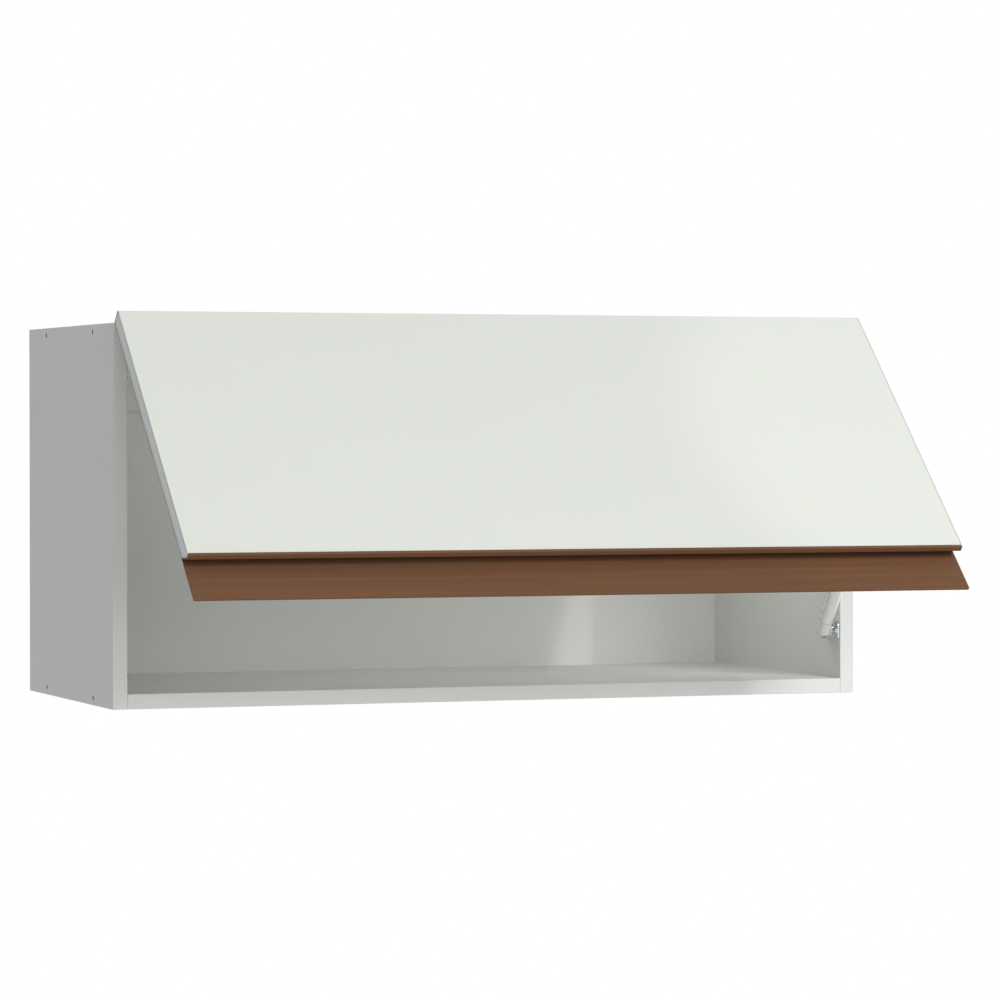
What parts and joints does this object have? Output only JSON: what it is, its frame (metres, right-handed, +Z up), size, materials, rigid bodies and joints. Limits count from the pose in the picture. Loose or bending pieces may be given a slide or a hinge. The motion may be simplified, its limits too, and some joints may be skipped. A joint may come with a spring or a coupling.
{
  "type": "lift up wall cabinet",
  "caption": "Low, wide kitchen wall cabinet with a lift-up flap on a continuous top hinge, a finger-pull profile along its lower edge and one gas strut on the right.",
  "frame": {"origin": "midway between the axes of the two wall-screw holes, on the wall plane, which is the back face of the cabinet", "axes": "+X to the right as seen from the front, +Y towards the wall, +Z up; the flap is drawn fully open"},
  "size_m": [0.8, 0.6104, 0.3916],
  "materials": {
    "carcass_board": "white melamine-faced particle board, fine pearl texture",
    "carcass_edging": "white edge band, satin",
    "back_board": "white lacquered hardboard, raw brown behind",
    "dowel_wood": "turned beech, unfinished",
    "side_screw_steel": "dark passivated screws",
    "nail_steel": "plain bright wire nails",
    "flap_board": "smooth satin white front board",
    "flap_edging": "white edge band, satin",
    "pull_aluminium": "bronze-brown anodised extrusion, fine lengthwise brushing",
    "pull_screw_steel": "bronzed countersunk screws",
    "buffer_rubber": "translucent milky soft buffer",
    "hinge_steel": "nickel-plated rolled sheet",
    "hinge_screw_steel": "nickel-plated pan-head screws",
    "bracket_steel": "zinc-plated pressed sheet",
    "bracket_screw_steel": "bright zinc-plated screws",
    "stud_steel": "bright turned ball studs",
    "tube_paint": "silver-grey lacquered pressure tube, satin",
    "rod_chrome": "ground and chromed rod",
    "piston_steel": "machined steel",
    "guide_brass": "turned brass guide bush",
    "seal_rubber": "black nitrile",
    "socket_plastic": "moulded grey plastic socket",
    "clip_steel": "spring-steel retaining clip"
  },
  "bodies": {
    "carcass": {"left_side": "carcass_board", "right_side": "carcass_board", "top_panel": "carcass_board", "bottom_panel": "carcass_board", "back_panel": "back_board", "hanging_rail": "carcass_board", "carcass_edge_bands": "carcass_edging", "joint_dowels": "dowel_wood", "side_screws": "side_screw_steel", "back_nails": "nail_steel", "hinge_carcass_leaf": "hinge_steel", "hinge_carcass_screws": "hinge_screw_steel", "hinge_pin": "hinge_steel", "side_bracket": "bracket_steel", "side_bracket_screws": "bracket_screw_steel", "side_ball_stud": "stud_steel"},
    "flap": {"flap_panel": "flap_board", "flap_edge_bands": "flap_edging", "pull_profile": "pull_aluminium", "pull_screws": "pull_screw_steel", "flap_buffers": "buffer_rubber", "hinge_flap_leaf": "hinge_steel", "hinge_flap_screws": "hinge_screw_steel", "flap_bracket": "bracket_steel", "flap_bracket_screws": "bracket_screw_steel"},
    "strut_barrel": {"strut_tube": "tube_paint", "strut_guide": "guide_brass", "strut_seal": "seal_rubber", "tube_socket": "socket_plastic", "tube_clip": "clip_steel"},
    "strut_plunger": {"strut_rod": "rod_chrome", "strut_piston": "piston_steel", "rod_socket": "socket_plastic", "rod_clip": "clip_steel", "flap_ball_stud": "stud_steel"}
  },
  "joints": [
    {"name": "flap_hinge", "type": "hinge", "parent": "carcass", "child": "flap", "pos_m": [0, -0.3368, 0.0482], "axis": [1, 0, 0], "range_deg": [0, 46.4], "stiffness_Nm_per_rad": 2, "springref_deg": -171.89},
    {"name": "strut_swing", "type": "hinge", "parent": "carcass", "child": "strut_barrel", "pos_m": [0.373, -0.318, -0.266], "axis": [1, 0, 0], "range_deg": [-32.61, 0]},
    {"name": "strut_slide", "type": "slide", "parent": "strut_barrel", "child": "strut_plunger", "axis": [0, -0.5759, 0.8175], "range_m": [-0.08575, 0]}
  ],
  "couplings": [
    {"joint": "strut_swing", "follows": "flap_hinge", "ratio": -0.70169},
    {"joint": "strut_slide", "follows": "flap_hinge", "m_per_rad": -0.10577}
  ]
}
